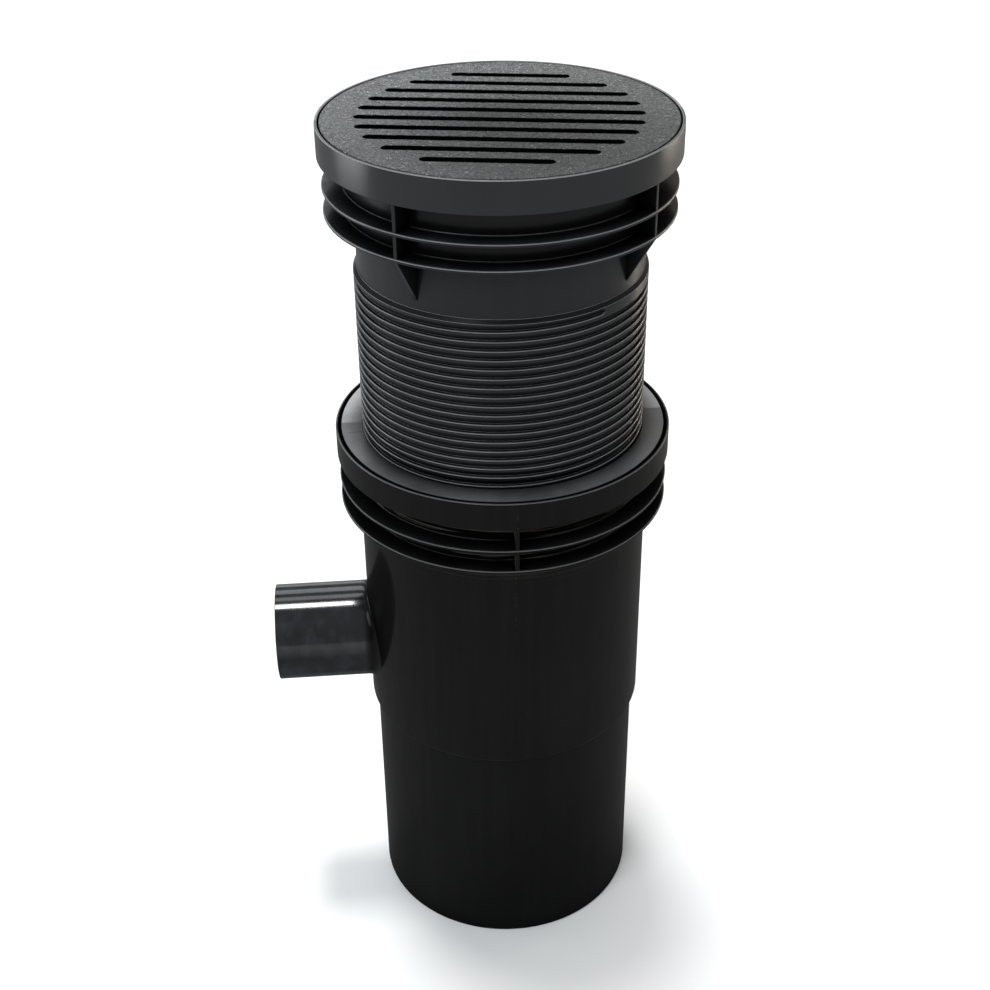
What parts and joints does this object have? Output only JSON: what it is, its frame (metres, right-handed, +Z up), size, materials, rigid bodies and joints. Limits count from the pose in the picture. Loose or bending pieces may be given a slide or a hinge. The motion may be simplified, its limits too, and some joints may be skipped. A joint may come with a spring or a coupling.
{
  "type": "drain sump",
  "caption": "Tall round yard drain sump: slotted cast grate in a threaded riser that screws up and down through a ring in a pipe-like body, with a side outlet above a silt bucket.",
  "frame": {"origin": "centre of the bucket's flat base", "axes": "+Z up along the shaft axis to the grate; the outlet points along -X; -Y is the front as pictured"},
  "size_m": [0.4435, 0.36, 0.965],
  "materials": {
    "black_plastic": "satin moulded polypropylene",
    "seal_rubber": "matte",
    "grate_iron": "rough sand-cast, dark coated"
  },
  "bodies": {
    "sump": {"body": "black_plastic", "bucket": "black_plastic", "seal": "seal_rubber"},
    "ring": {"threaded_ring": "black_plastic"},
    "top": {"riser": "black_plastic", "grate": "grate_iron"}
  },
  "joints": [
    {"name": "ring_turn", "type": "hinge", "parent": "sump", "child": "ring", "pos_m": [0, 0, 0.631], "axis": [0, 0, 1], "range_deg": [-540, 6120]},
    {"name": "riser_lift", "type": "slide", "parent": "sump", "child": "top", "axis": [0, 0, 1], "range_m": [-0.17, 0.015]}
  ],
  "couplings": [
    {"joint": "riser_lift", "follows": "ring_turn", "m_per_rad": -0.0015915}
  ]
}
